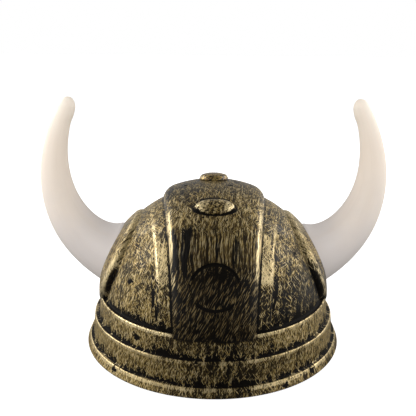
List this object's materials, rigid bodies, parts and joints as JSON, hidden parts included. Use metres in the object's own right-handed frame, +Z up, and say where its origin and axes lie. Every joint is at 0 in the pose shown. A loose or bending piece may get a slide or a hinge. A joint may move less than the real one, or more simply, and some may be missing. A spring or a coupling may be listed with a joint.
{
  "type": "horned helmet",
  "caption": "Hollow moulded costume helmet with a raised centre band, a stepped rim, round side pads and curved hollow horns plugged through them.",
  "frame": {"origin": "centre of the rim on the surface the helmet stands on", "axes": "+X to the right across the horns, -Y the front, +Z up through the crown"},
  "size_m": [0.2794, 0.2378, 0.1971],
  "materials": {
    "aged_gold_plastic": "black plastic dry-brushed with antique gold",
    "white_plastic": "satin white",
    "brass_button": "glossy orange gold"
  },
  "bodies": {
    "root": {"helmet_shell": "aged_gold_plastic", "horn_left": "white_plastic", "horn_right": "white_plastic", "crown_button": "brass_button"}
  },
  "joints": []
}
